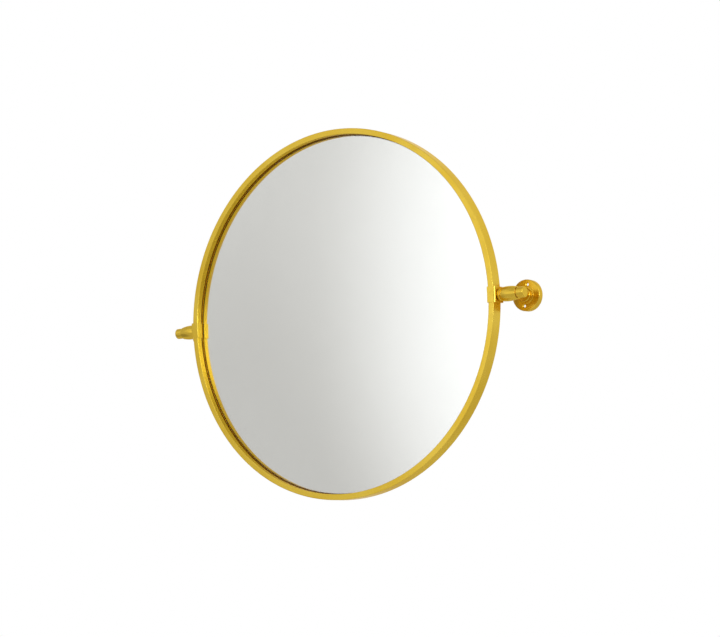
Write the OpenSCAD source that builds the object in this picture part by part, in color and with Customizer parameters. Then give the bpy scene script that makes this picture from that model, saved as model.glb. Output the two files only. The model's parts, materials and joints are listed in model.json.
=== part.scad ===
// Round wall mirror that tilts between two turned wall brackets.
// Millimetres. The wall is the plane Y = 0, with +Y into the wall, +X to the right and +Z up.
// The origin is on the wall, midway between the brackets, at the height of the pivot axis.

/* [Rim] */
// Outside diameter of the round rim
rim_d = 610; // [450:10:800]
// Width of the rim seen from the front
rim_w = 9.6; // [8:0.2:14]
// Depth of the rim from its front face to its back face
rim_depth = 21.4; // [20:0.2:30]
// Wall of the rolled tube that the rim is made of
rim_wall = 1.2; // [0.8:0.1:2]
// Radius of the rim's long edges
rim_edge_r = 0.8; // [0.3:0.1:1.5]

/* [Glass and backing] */
// Thickness of the mirror glass
glass_t = 4; // [3:0.5:6]
// Open joint between the edge of the glass and the rim
glass_gap = 0.8; // [0.3:0.1:2]
// Thickness of the tape that bonds the glass to its board
tape_t = 0.8; // [0.5:0.1:1.5]
// Width of each ring of tape
tape_w = 18; // [10:1:30]
// Distance from the edge of the glass to the outer ring of tape
tape_inset = 14; // [8:1:30]
// Outside diameter of the inner ring of tape
tape_inner_d = 260; // [150:10:300]
// Thickness of the backing board
board_t = 3; // [2.5:0.5:5]
// Open joint between the edge of the board and the rim
board_gap = 1.2; // [0.5:0.1:3]

/* [Board tabs and screws] */
// Number of tabs welded inside the rim to carry the board
tab_count = 8; // [6:2:12]
// Width of a tab along the rim
tab_w = 14; // [10:1:24]
// Reach of a tab from the rim towards the centre
tab_reach = 10; // [8:0.5:16]
// Thickness of a tab
tab_t = 1.2; // [0.8:0.1:2]
// Distance from the back of a tab to the back of the rim
tab_inset = 1.2; // [0.5:0.1:3]
// Diameter of a board screw
board_screw_d = 3; // [2.5:0.5:4]
// Diameter of a board screw's pan head
board_screw_head_d = 5.6; // [4.5:0.1:7]
// Height of a board screw's pan head
board_screw_head_t = 1.2; // [0.8:0.1:2]
// Board that a board screw leaves undrilled in front of its tip
board_skin = 0.5; // [0.3:0.1:1]

/* [Saddle on the rim] */
// Height of the saddle along the rim
saddle_h = 25.4; // [22:0.2:36]
// Distance that the saddle stands out from the side of the rim
saddle_wall = 3.6; // [3.2:0.1:6]
// Thickness of the saddle's front flange and of its lip inside the rim
saddle_flange_t = 1.2; // [0.8:0.1:2]
// Gap between the saddle's lip and the glass
lip_glass_gap = 0.6; // [0.3:0.1:2]
// Thickness of the strap across the back of the rim
strap_t = 1.5; // [1.2:0.1:3]
// Diameter of a strap screw
strap_screw_d = 2; // [1.6:0.1:2.5]
// Diameter of a strap screw's countersunk head
strap_screw_head_d = 3.4; // [2.8:0.1:4]
// Length of a strap screw, with its head
strap_screw_len = 8; // [5:0.5:12]
// Distance from a strap screw's axis to the end of the saddle
strap_screw_inset = 4.2; // [3:0.1:5]

/* [Pivot] */
// Distance of the pivot axis behind the front face of the rim
pivot_depth = 17; // [11:0.2:18]
// Diameter of the collar on the saddle
collar_d = 20; // [16:0.5:24]
// Length of the collar
collar_len = 2.6; // [2:0.1:6]
// Radius of the collar's outer edge
collar_edge_r = 1.2; // [0.5:0.1:1.8]
// Diameter of the pivot bolt
bolt_d = 6; // [5:0.5:6.5]
// Diameter of the pivot bolt's low round head
bolt_head_d = 8; // [7:0.5:8.5]
// Height of the pivot bolt's head
bolt_head_t = 1.6; // [1:0.1:2.4]
// Wall of the nylon bush on the bolt
bush_wall = 1.6; // [1:0.1:2.5]
// Diameter of the bush's flange
bush_flange_d = 17; // [14:0.5:20]
// Thickness of the bush's flange
bush_flange_t = 1; // [0.8:0.1:2]
// Diameter of the flat washer on the bolt
washer_d = 12; // [11.6:0.2:14]
// Thickness of the flat washer
washer_t = 1; // [0.8:0.1:1.6]
// Thickness of the disc spring's steel
spring_t = 0.6; // [0.4:0.1:1]
// Free height of the disc spring
spring_h = 1.4; // [1.1:0.1:2]
// Distance across the flats of the lock nut
nut_flats = 10; // [8:0.5:11]
// Height of the lock nut
nut_t = 5; // [4:0.5:7]
// Length of the bolt that stands out of the lock nut
bolt_spare = 2; // [1:0.5:4]

/* [Barrel and end cap] */
// Length of the barrel along the pivot axis
barrel_len = 27.4; // [25:0.2:40]
// Largest diameter of the barrel
barrel_d = 24; // [22:0.2:30]
// Distance from the barrel's inner end to its largest diameter
barrel_crown_x = 10.6; // [8:0.2:16]
// Radius of the arc along the barrel's side
barrel_arc_r = 70; // [60:2:200]
// Depth of the pocket for the washer and the spring in the barrel's outer end
pocket_depth = 6.1; // [5:0.1:8]
// Wall of the spigot that carries the end cap
spigot_wall = 1.2; // [0.8:0.1:2]
// Length of the spigot inside the end cap
spigot_len = 3; // [2:0.5:5]
// Width of the groove between the barrel and the end cap
groove_w = 0.8; // [0.4:0.1:2]
// Wall of the end cap around the spigot
cap_wall = 1.1; // [0.8:0.05:2]
// Length of the end cap
cap_len = 12.3; // [9:0.1:20]
// Radius of the end cap's outer edge
cap_edge_r = 1.4; // [0.5:0.1:3]

/* [Post] */
// Distance from the barrel's inner end to the axis of the post
post_offset = 17.2; // [12:0.1:18.5]
// Diameter of the post
post_d = 18.8; // [16:0.2:22]
// Diameter of the threaded stub that screws into the barrel
stub_d = 8; // [6:0.5:9]
// Barrel wall left between the stub and the bush
stub_floor = 2.4; // [1.5:0.1:3]
// Diameter of the screw that holds the post to the wall plate
post_screw_d = 6; // [5:0.5:8]
// Diameter of that screw's countersunk head
post_screw_head_d = 11; // [10:0.5:14]
// Length of that screw, with its head
post_screw_len = 22; // [16:1:26]

/* [Wall plate] */
// Distance from the wall to the back of the rim
wall_gap = 45; // [40:0.2:80]
// Diameter of the wall plate
plate_d = 50.4; // [48:0.2:70]
// Height of the wall plate from the wall to its face
plate_t = 9.6; // [8:0.2:14]
// Thickness of the hollow plate's face
plate_face_t = 3.2; // [1.5:0.1:4]
// Wall of the plate's skirt
plate_skirt_t = 2.4; // [1.5:0.1:4]
// Wall of the boss behind the plate's face, round the foot of the post
boss_wall = 1.8; // [1.2:0.1:3]
// Radius of the wall plate's front edge
plate_edge_r = 1.4; // [0.8:0.1:3.5]
// Depth of the seat that holds the post in the plate
seat_depth = 4; // [2:0.2:5]
// Wall of the raised hub around the post
hub_wall = 1.55; // [1.5:0.05:2]
// Height of the hub above the plate's face
hub_h = 6.4; // [5:0.1:9]
// Radius of the hub's rounded outer edge
hub_edge_r = 1.4; // [0.5:0.1:1.4]
// Radius of the hollow flare from the hub to the plate
flare_r = 2.2; // [1.5:0.1:2.4]
// Radius of the low bead round the foot of the flare
bead_r = 0.8; // [0.5:0.1:1]
// Distance between the plate's two wall screw holes
wall_hole_pitch = 34.4; // [34:0.2:40]
// Angle from the vertical of the line through the two wall screw holes
wall_hole_turn = 12; // [0:1:90]
// Diameter of a wall screw hole
wall_hole_d = 4.5; // [3.5:0.1:5]
// Diameter of the countersink at the front of a wall screw hole
wall_sink_d = 6.2; // [5.4:0.1:6.6]

/* [Fits] */
// Radial gap of the pivot bolt in its bush
run_gap = 0.06; // [0.02:0.01:0.1]
// Gap between parts that turn past each other face to face
face_gap = 0.1; // [0.05:0.05:0.3]
// Gap between a turning part and the wall of its pocket
pocket_gap = 0.4; // [0.3:0.05:0.8]
// Gap between fixed parts that fit in or on each other
seat_gap = 0.05; // [0.02:0.01:0.15]
// Gap between the saddle and the rim it wraps
wrap_gap = 0.1; // [0.05:0.05:0.3]

/* [Hidden] */
$fn = 96;
ring_fn = 240;
cut = 1; // how far a cutting shape runs past the face it cuts

// Rim, glass and board: radii from the mirror's axis, depths from the front face of the rim.
rim_r = rim_d / 2;
rim_bore_r = rim_r - rim_w;
rim_front_y = -wall_gap - rim_depth;
tab_front = rim_depth - tab_inset - tab_t;
board_front = tab_front - board_t;
tape_front = board_front - tape_t;
glass_front = tape_front - glass_t;
glass_r = rim_bore_r - glass_gap;
board_r = rim_bore_r - board_gap;
tab_screw_r = rim_bore_r - tab_reach / 2;
tab_hole_r = board_screw_d / 2 + seat_gap * 2;

// Saddle and strap: heights above the pivot axis, and distances out from the side of the rim.
saddle_back = rim_depth + wrap_gap;
saddle_out_r = rim_r + saddle_wall;
lip_r = rim_bore_r - wrap_gap - saddle_flange_t;
strap_screw_z = saddle_h / 2 - strap_screw_inset;
strap_screw_ring_r = rim_r + (saddle_wall + wrap_gap) / 2;
strap_screw_x = sqrt(pow(strap_screw_ring_r, 2) - pow(strap_screw_z, 2));
strap_screw_sink = (strap_screw_head_d - strap_screw_d) / 2;
collar_root = saddle_wall - 0.4;

// Pivot: distances out from the side of the rim along the pivot axis.
pivot_y = rim_front_y + pivot_depth;
bolt_r = bolt_d / 2;
collar_end = saddle_wall + collar_len;
bush_start = collar_end + face_gap;
barrel_start = bush_start + bush_flange_t;
barrel_end = barrel_start + barrel_len;
pocket_floor = barrel_end - pocket_depth;
washer_start = pocket_floor + face_gap;
spring_start = washer_start + washer_t;
nut_start = spring_start + spring_h;
bolt_end = nut_start + nut_t + bolt_spare;
cap_start = barrel_end + groove_w;
cap_end = cap_start + cap_len;
cap_pocket_end = max(bolt_end, cap_start + spigot_len) + face_gap * 10;
bush_in_r = bolt_r + run_gap;
bush_out_r = bush_in_r + bush_wall;
nut_corner_r = nut_flats / 2 / cos(30);
pocket_r = max(washer_d / 2, nut_corner_r) + pocket_gap;
spigot_r = pocket_r + spigot_wall;
cap_r = spigot_r + seat_gap + cap_wall;

// Post and plate: distances out from the wall.
post_x = rim_r + barrel_start + post_offset;
post_r = post_d / 2;
post_foot = plate_t - seat_depth + seat_gap;
pivot_out = -pivot_y;
stub_tip = pivot_out - bush_out_r - stub_floor;
hub_r = post_r + seat_gap + hub_wall;
hub_foot_r = hub_r + flare_r;
boss_r = post_r + seat_gap + boss_wall;
post_screw_sink = (post_screw_head_d - post_screw_d) / 2;
wall_sink = (wall_sink_d - wall_hole_d) / 2;

GOLD = [0.83, 0.67, 0.24];
STEEL = [0.62, 0.63, 0.65];
GLASS = [0.80, 0.81, 0.80];
BOARD = [0.66, 0.53, 0.38];
TAPE = [0.92, 0.92, 0.88];
NYLON = [0.10, 0.10, 0.09];

// Side of the mirror on which a bracket piece is drawn.
RIGHT = 0;
LEFT = 1;

// ---- Places ----

// Mirror's axis: X and Y are radial and Z is the depth behind the front face of the rim.
module in_rim() {
    translate([0, rim_front_y, 0]) rotate([-90, 0, 0]) children();
}

// Pivot axis of one side: Z runs outwards from the side of the rim.
module on_pivot(side) {
    mirror([side, 0, 0]) translate([rim_r, pivot_y, 0]) rotate([0, 90, 0]) children();
}

// Post axis of one side: Z runs from the wall towards the room and Y is up.
module on_wall(side) {
    mirror([side, 0, 0]) translate([post_x, 0, 0]) rotate([90, 0, 0]) children();
}

// Both strap screws of one side: Z is the depth behind the front face of the rim.
module at_strap_screws(side) {
    mirror([side, 0, 0])
        in_rim()
            for (z = [-strap_screw_z, strap_screw_z])
                translate([strap_screw_x, z, 0]) children();
}

// Every board screw: X points away from the mirror's axis.
module at_tabs() {
    for (i = [0:tab_count - 1])
        rotate((i + 0.5) * 360 / tab_count) children();
}

// ---- Shapes ----

// Rectangle with rounded corners, from the origin.
module rounded_rect(size, r) {
    translate([r, 0]) square([size[0] - 2 * r, size[1]]);
    translate([0, r]) square([size[0], size[1] - 2 * r]);
    for (x = [r, size[0] - r], y = [r, size[1] - r])
        translate([x, y]) circle(r);
}

// Flat ring from a depth to a greater one, round the Z axis.
module ring(outer_r, inner_r, from, to) {
    rotate_extrude($fn = ring_fn)
        translate([inner_r, from]) square([outer_r - inner_r, to - from]);
}

// Tube or rod between two heights on the Z axis.
module tube(outer_r, inner_r, from, to) {
    difference() {
        translate([0, 0, from]) cylinder(r = outer_r, h = to - from);
        translate([0, 0, from - cut]) cylinder(r = inner_r, h = to - from + 2 * cut);
    }
}

// Block across one side of the rim that keeps a saddle's height of a ring.
module saddle_slab() {
    x = lip_r - rim_w;
    translate([x, rim_front_y - rim_depth, -saddle_h / 2])
        cube([saddle_out_r - x + cut, rim_depth * 3, saddle_h]);
}

// Barrel's outside, grown by a gap.
module barrel_outside(grow) {
    rotate_extrude()
        intersection() {
            translate([0, barrel_start]) square([barrel_d, barrel_len]);
            translate([barrel_d / 2 - barrel_arc_r, barrel_start + barrel_crown_x])
                circle(barrel_arc_r + grow, $fn = ring_fn * 4);
        }
}

// ---- Mirror ----

module rim_frame() {
    color(GOLD)
        in_rim() {
            rotate_extrude($fn = ring_fn)
                translate([rim_bore_r, 0])
                    difference() {
                        rounded_rect([rim_w, rim_depth], rim_edge_r);
                        translate([rim_wall, rim_wall])
                            square([rim_w - 2 * rim_wall, rim_depth - 2 * rim_wall]);
                    }
            at_tabs() rim_tab();
        }
}

// One welded tab, sunk into half of the tube's wall.
module rim_tab() {
    root_x = rim_bore_r + rim_wall / 2;
    tip_x = rim_bore_r - tab_reach;
    difference() {
        translate([tip_x, -tab_w / 2, tab_front]) cube([root_x - tip_x, tab_w, tab_t]);
        translate([tab_screw_r, 0, tab_front - cut]) cylinder(r = tab_hole_r, h = tab_t + 2 * cut);
    }
}

module mirror_glass() {
    color(GLASS)
        in_rim()
            translate([0, 0, glass_front]) cylinder(r = glass_r, h = glass_t, $fn = ring_fn);
}

module bonding_tape() {
    outer_r = glass_r - tape_inset;
    inner_r = tape_inner_d / 2;
    color(TAPE)
        in_rim()
            for (r = [outer_r, inner_r])
                ring(r, r - tape_w, tape_front, board_front);
}

module backing_board() {
    color(BOARD)
        in_rim()
            difference() {
                translate([0, 0, board_front]) cylinder(r = board_r, h = board_t, $fn = ring_fn);
                at_tabs()
                    translate([tab_screw_r, 0, board_front + board_skin])
                        cylinder(r = board_screw_d / 2 + seat_gap, h = board_t);
            }
}

module board_screws() {
    tip = board_front + board_skin + seat_gap;
    head = tab_front + tab_t;
    color(STEEL)
        in_rim()
            at_tabs()
                translate([tab_screw_r, 0, 0]) {
                    translate([0, 0, tip]) cylinder(d = board_screw_d, h = head - tip + seat_gap);
                    translate([0, 0, head]) cylinder(d = board_screw_head_d, h = board_screw_head_t);
                }
}

// ---- Saddles ----

// Section of the saddle: front flange, outer wall and the lip inside the rim.
module saddle_section() {
    front = -wrap_gap - saddle_flange_t;
    translate([lip_r, front]) square([saddle_out_r - lip_r, saddle_flange_t]);
    translate([rim_r + wrap_gap, front]) square([saddle_wall - wrap_gap, saddle_back - front]);
    translate([lip_r, front]) square([saddle_flange_t, glass_front - lip_glass_gap - front]);
}

module saddle(side) {
    color(GOLD)
        difference() {
            union() {
                mirror([side, 0, 0])
                    intersection() {
                        in_rim() rotate_extrude($fn = ring_fn) saddle_section();
                        saddle_slab();
                    }
                on_pivot(side) collar();
            }
            on_pivot(side) {
                cylinder(r = bolt_r + seat_gap, h = collar_end + cut);
                cylinder(r = bolt_head_d / 2 + seat_gap, h = wrap_gap + bolt_head_t + seat_gap);
            }
            at_strap_screws(side)
                translate([0, 0, saddle_back + strap_t - strap_screw_len - seat_gap])
                    cylinder(d = strap_screw_d + 2 * seat_gap, h = strap_screw_len + cut);
        }
}

// Round-edged collar, rooted in the saddle's wall.
module collar() {
    straight_r = collar_d / 2 - collar_edge_r;
    rotate_extrude() {
        translate([0, collar_root]) square([straight_r, collar_end - collar_root]);
        translate([0, collar_root]) square([collar_d / 2, collar_end - collar_edge_r - collar_root]);
        translate([straight_r, collar_end - collar_edge_r]) circle(collar_edge_r);
    }
}

module saddle_strap(side) {
    color(GOLD)
        difference() {
            mirror([side, 0, 0])
                intersection() {
                    in_rim() ring(saddle_out_r, rim_bore_r, saddle_back, saddle_back + strap_t);
                    saddle_slab();
                }
            on_pivot(side)
                translate([0, 0, collar_root - seat_gap])
                    cylinder(r = collar_d / 2 + seat_gap, h = collar_end);
            at_strap_screws(side) {
                translate([0, 0, saddle_back - cut])
                    cylinder(d = strap_screw_d + 2 * seat_gap, h = strap_t + 2 * cut);
                translate([0, 0, saddle_back + strap_t - strap_screw_sink])
                    cylinder(d1 = strap_screw_d + 2 * seat_gap, d2 = strap_screw_head_d + 2 * seat_gap,
                             h = strap_screw_sink + seat_gap);
            }
        }
}

module strap_screws(side) {
    top = saddle_back + strap_t;
    color(GOLD)
        at_strap_screws(side) {
            translate([0, 0, top - strap_screw_len]) cylinder(d = strap_screw_d, h = strap_screw_len);
            translate([0, 0, top - strap_screw_sink])
                cylinder(d1 = strap_screw_d, d2 = strap_screw_head_d, h = strap_screw_sink);
        }
}

// ---- Pivots ----

module pivot_bolt(side) {
    color(STEEL)
        on_pivot(side) {
            translate([0, 0, wrap_gap]) cylinder(d = bolt_head_d, h = bolt_head_t);
            translate([0, 0, wrap_gap]) cylinder(r = bolt_r, h = bolt_end - wrap_gap);
        }
}

module pivot_bush(side) {
    color(NYLON)
        on_pivot(side)
            difference() {
                union() {
                    translate([0, 0, bush_start]) cylinder(d = bush_flange_d, h = bush_flange_t);
                    translate([0, 0, bush_start]) cylinder(r = bush_out_r, h = pocket_floor - bush_start);
                }
                translate([0, 0, bush_start - cut])
                    cylinder(r = bush_in_r, h = pocket_floor - bush_start + 2 * cut);
            }
}

module flat_washer(side) {
    color(STEEL)
        on_pivot(side)
            tube(washer_d / 2, bolt_r + seat_gap, washer_start, washer_start + washer_t);
}

// Coned ring that keeps the tilt firm.
module disc_spring(side) {
    inner_r = bolt_r + seat_gap;
    color(STEEL)
        on_pivot(side)
            rotate_extrude()
                polygon([
                    [inner_r, spring_start + spring_h - spring_t],
                    [washer_d / 2, spring_start],
                    [washer_d / 2, spring_start + spring_t],
                    [inner_r, spring_start + spring_h]
                ]);
}

module lock_nut(side) {
    color(STEEL)
        on_pivot(side)
            difference() {
                translate([0, 0, nut_start]) cylinder(r = nut_corner_r, h = nut_t, $fn = 6);
                translate([0, 0, nut_start - cut]) cylinder(r = bolt_r + seat_gap, h = nut_t + 2 * cut);
            }
}

// ---- Brackets ----

module barrel(side) {
    color(GOLD)
        difference() {
            on_pivot(side)
                difference() {
                    union() {
                        barrel_outside(0);
                        translate([0, 0, barrel_end - cut])
                            cylinder(r = spigot_r, h = groove_w + spigot_len + cut);
                    }
                    cylinder(r = bush_out_r + seat_gap, h = barrel_end);
                    translate([0, 0, pocket_floor]) cylinder(r = pocket_r, h = cap_end);
                }
            on_wall(side)
                cylinder(d = stub_d + 2 * seat_gap, h = stub_tip + seat_gap);
        }
}

module end_cap(side) {
    color(GOLD)
        on_pivot(side)
            difference() {
                rotate_extrude()
                    translate([0, cap_start]) {
                        square([cap_r, cap_len - cap_edge_r]);
                        square([cap_r - cap_edge_r, cap_len]);
                        translate([cap_r - cap_edge_r, cap_len - cap_edge_r]) circle(cap_edge_r);
                    }
                translate([0, 0, cap_start - cut])
                    cylinder(r = spigot_r + seat_gap, h = spigot_len + seat_gap + cut);
                translate([0, 0, cap_start]) cylinder(r = pocket_r, h = cap_pocket_end - cap_start);
            }
}

// Round post, coped to the side of the barrel, with a threaded stub.
module post(side) {
    color(GOLD)
        difference() {
            union() {
                difference() {
                    on_wall(side)
                        translate([0, 0, post_foot]) cylinder(r = post_r, h = pivot_out - post_foot);
                    on_pivot(side) barrel_outside(seat_gap);
                }
                on_wall(side)
                    translate([0, 0, post_foot]) cylinder(d = stub_d, h = stub_tip - post_foot);
            }
            on_wall(side)
                translate([0, 0, post_foot - cut])
                    cylinder(d = post_screw_d + 2 * seat_gap, h = post_screw_len + seat_gap - post_foot + cut);
        }
}

module post_screw(side) {
    color(STEEL)
        on_wall(side) {
            translate([0, 0, seat_gap]) cylinder(d = post_screw_d, h = post_screw_len - seat_gap);
            translate([0, 0, seat_gap])
                cylinder(d1 = post_screw_head_d, d2 = post_screw_d, h = post_screw_sink);
        }
}

module wall_plate(side) {
    color(GOLD)
        on_wall(side)
            difference() {
                rotate_extrude() plate_section();
                translate([0, 0, plate_t - seat_depth])
                    cylinder(r = post_r + seat_gap, h = seat_depth + hub_h + cut);
                translate([0, 0, -cut]) cylinder(d = post_screw_d + 2 * seat_gap, h = plate_t + cut);
                translate([0, 0, -seat_gap])
                    cylinder(d1 = post_screw_head_d + 4 * seat_gap, d2 = post_screw_d, h = post_screw_sink + 2 * seat_gap);
                rotate(-wall_hole_turn)
                    for (y = [-wall_hole_pitch / 2, wall_hole_pitch / 2])
                        translate([0, y, 0]) wall_hole();
            }
}

// Half section of the plate: a hollow round-edged disc with a boss, a round-edged hub with a hollow flare, and a bead.
module plate_section() {
    plate_r = plate_d / 2;
    difference() {
        union() {
            square([plate_r - plate_edge_r, plate_t]);
            square([plate_r, plate_t - plate_edge_r]);
            translate([plate_r - plate_edge_r, plate_t - plate_edge_r]) circle(plate_edge_r);
        }
        translate([boss_r, -cut])
            square([plate_r - plate_skirt_t - boss_r, plate_t - plate_face_t + cut]);
    }
    difference() {
        square([hub_foot_r, plate_t + flare_r]);
        translate([hub_foot_r, plate_t + flare_r]) circle(flare_r);
    }
    square([hub_r - hub_edge_r, plate_t + hub_h]);
    square([hub_r, plate_t + hub_h - hub_edge_r]);
    translate([hub_r - hub_edge_r, plate_t + hub_h - hub_edge_r]) circle(hub_edge_r);
    translate([hub_foot_r, plate_t]) circle(bead_r);
}

// Clearance hole for a wall screw, countersunk at the front.
module wall_hole() {
    translate([0, 0, -cut]) cylinder(d = wall_hole_d, h = plate_t + flare_r + 2 * cut);
    translate([0, 0, plate_t - wall_sink]) cylinder(d1 = wall_hole_d, d2 = wall_sink_d, h = wall_sink);
    translate([0, 0, plate_t]) cylinder(d = wall_sink_d, h = flare_r + cut);
}

rim_frame();
mirror_glass();
bonding_tape();
backing_board();
board_screws();
saddle(RIGHT);  // saddle_right
saddle(LEFT);  // saddle_left
saddle_strap(RIGHT);  // saddle_strap_right
saddle_strap(LEFT);  // saddle_strap_left
strap_screws(RIGHT);  // strap_screws_right
strap_screws(LEFT);  // strap_screws_left
pivot_bolt(RIGHT);  // pivot_bolt_right
pivot_bolt(LEFT);  // pivot_bolt_left
pivot_bush(RIGHT);  // pivot_bush_right
pivot_bush(LEFT);  // pivot_bush_left
flat_washer(RIGHT);  // flat_washer_right
flat_washer(LEFT);  // flat_washer_left
disc_spring(RIGHT);  // disc_spring_right
disc_spring(LEFT);  // disc_spring_left
lock_nut(RIGHT);  // lock_nut_right
lock_nut(LEFT);  // lock_nut_left
barrel(RIGHT);  // barrel_right
barrel(LEFT);  // barrel_left
end_cap(RIGHT);  // end_cap_right
end_cap(LEFT);  // end_cap_left
post(RIGHT);  // post_right
post(LEFT);  // post_left
post_screw(RIGHT);  // post_screw_right
post_screw(LEFT);  // post_screw_left
wall_plate(RIGHT);  // wall_plate_right
wall_plate(LEFT);  // wall_plate_left
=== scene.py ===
import json
import math

import bpy
import bmesh
from bpy.props import (
    BoolProperty, FloatProperty, FloatVectorProperty, IntProperty, PointerProperty,
)
from mathutils import Matrix, Vector

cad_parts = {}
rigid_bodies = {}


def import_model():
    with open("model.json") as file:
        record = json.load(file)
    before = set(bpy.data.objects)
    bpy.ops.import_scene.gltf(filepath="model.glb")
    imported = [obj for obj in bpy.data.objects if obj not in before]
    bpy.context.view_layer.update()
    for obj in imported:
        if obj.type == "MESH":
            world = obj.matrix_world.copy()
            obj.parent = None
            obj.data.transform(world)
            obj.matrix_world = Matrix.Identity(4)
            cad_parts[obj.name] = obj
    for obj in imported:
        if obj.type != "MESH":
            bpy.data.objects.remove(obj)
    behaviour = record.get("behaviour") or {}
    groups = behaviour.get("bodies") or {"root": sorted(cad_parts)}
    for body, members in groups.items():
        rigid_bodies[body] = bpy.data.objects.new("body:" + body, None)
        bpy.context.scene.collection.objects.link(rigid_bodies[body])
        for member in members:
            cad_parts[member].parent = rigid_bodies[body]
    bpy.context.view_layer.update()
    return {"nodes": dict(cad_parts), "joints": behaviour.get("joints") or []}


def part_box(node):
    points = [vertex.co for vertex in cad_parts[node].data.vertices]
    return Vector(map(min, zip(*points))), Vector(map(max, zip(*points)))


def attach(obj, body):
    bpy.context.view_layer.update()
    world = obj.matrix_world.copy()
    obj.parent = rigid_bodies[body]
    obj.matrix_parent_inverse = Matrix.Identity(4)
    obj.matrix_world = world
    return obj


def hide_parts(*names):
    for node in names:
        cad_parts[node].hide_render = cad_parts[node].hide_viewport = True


bl_info = {
    "name": "Pivot Wall Mirror",
    "version": (1, 0, 0),
    "blender": (4, 5, 0),
    "location": "View3D > Sidebar > Mirror",
    "description": "Round gold-rimmed wall mirror that tilts between two turned brackets",
    "category": "Add Mesh",
}

for left_over in list(bpy.data.objects):
    bpy.data.objects.remove(left_over)

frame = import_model()

MM = 0.001
MIRROR_BODY = "mirror"
BRACKET_BODY = "wall_brackets"
SIDES = (("right", 1), ("left", -1))


# ---- Sizes that come from the frame, in millimetres ----

def box_mm(node):
    low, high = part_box(node)
    return low / MM, high / MM


def pivot_place():
    """Depth of the pivot axis in front of the wall, as a Y coordinate in millimetres."""
    hinge = next(j for j in frame["joints"] if j["name"] == "mirror_tilt")
    return hinge["pos_m"][1] / MM


RIM_LOW, RIM_HIGH = box_mm("rim_frame")
GLASS_LOW, GLASS_HIGH = box_mm("mirror_glass")
PLATE_LOW, PLATE_HIGH = box_mm("wall_plate_right")
BARREL_LOW, _ = box_mm("barrel_right")
CAP_LOW, CAP_HIGH = box_mm("end_cap_right")

RIM_FRONT = RIM_LOW.y
RIM_RADIUS = RIM_HIGH.x
RIM_DEPTH = RIM_HIGH.y - RIM_LOW.y
GLASS_RADIUS = GLASS_HIGH.x
GLASS_DEPTH = GLASS_LOW.y - RIM_FRONT
GLASS_THICKNESS = GLASS_HIGH.y - GLASS_LOW.y
PIVOT_Y = pivot_place()
BARREL_START = BARREL_LOW.x - RIM_RADIUS
CAP_END = CAP_HIGH.x - RIM_RADIUS
CAP_RADIUS = (CAP_HIGH.z - CAP_LOW.z) / 2
POST_X = (PLATE_LOW.x + PLATE_HIGH.x) / 2
PLATE_RADIUS = (PLATE_HIGH.x - PLATE_LOW.x) / 2


# ---- Fixed sizes, in millimetres: radii for screws, and full widths across a key or a cross ----

PLAY = 0.05  # between pieces that fit into each other

TAB_THICKNESS, TAB_REACH, TAB_WIDTH = 1.2, 10.0, 14.0
TAB_INSET = 1.2  # from the rim's back edge to the tabs
TAB_BITE = 0.3  # of a tab into the rim's wall
TAB_CORNER, TAB_EDGE = 2.2, 0.15  # roundings of the tip's corners and of the other edges
BEAD_RADIUS, BEAD_SINK, BEAD_SHORT = 0.62, 0.12, 1.5  # sunk into the rim's wall, and shorter than the tab

SILVER_THICKNESS, SILVER_GAP = 0.06, 0.02

BOARD_SCREW, BOARD_SCREW_HEAD = 1.5, 2.8
CROSS_SIZE, CROSS_DEPTH = 3.0, 0.9
CROSS_WING, CROSS_TAPER = 0.26, 0.45  # a wing's width and its bottom length, as shares of its length
CROSS_TURN = 0.4  # in radians

SADDLE_WALL, SADDLE_CORNER, SADDLE_END_EDGE = 3.6, 3.4, 0.25
SADDLE_ARC = math.radians(6.4)
LIP_SHORT = 0.6  # from the saddle's lip to the glass
COLLAR_SINK = 0.4  # of the collar into the saddle
STRAP_SCREW, STRAP_SCREW_HEAD = 1.0, 1.7
STRAP_KEY, STRAP_KEY_DEPTH = 1.3, 0.8

BARREL_LENGTH = 27.4
POCKET_DEPTH = 6.1
SPIGOT_WALL, SPIGOT_LENGTH = 1.2, 3.0
CAP_WALL, CAP_SHOULDER, CAP_ROOF = 1.1, 1.2, 2.6

SEAT_DEPTH = 4.0  # of the post into the wall plate
POST_SCREW, POST_SCREW_HEAD, POST_SCREW_LENGTH = 3.0, 5.5, 22.0
POST_KEY, POST_KEY_DEPTH = 4.0, 2.4
COPE_GAP = 0.02  # between the post's end and the barrel

CUT_OVER = 0.4  # of a recess's cutter past the head it cuts
CONE_PAST = 0.02  # of a countersink's cone past the plate's face, so that no corner of it lies in the face


# ---- Sizes and colours that a user would change ----

def length(name, description, default):
    """A length property in metres, from a default in millimetres."""
    return FloatProperty(
        name=name, description=description, default=default * MM, min=0.0, subtype="DISTANCE", unit="LENGTH"
    )


def colour(name, description, default):
    return FloatVectorProperty(
        name=name, description=description, default=default, size=3, min=0.0, max=1.0, subtype="COLOR"
    )


def share(name, description, default):
    return FloatProperty(
        name=name, description=description, default=default, min=0.0, max=1.0, subtype="FACTOR"
    )


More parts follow.
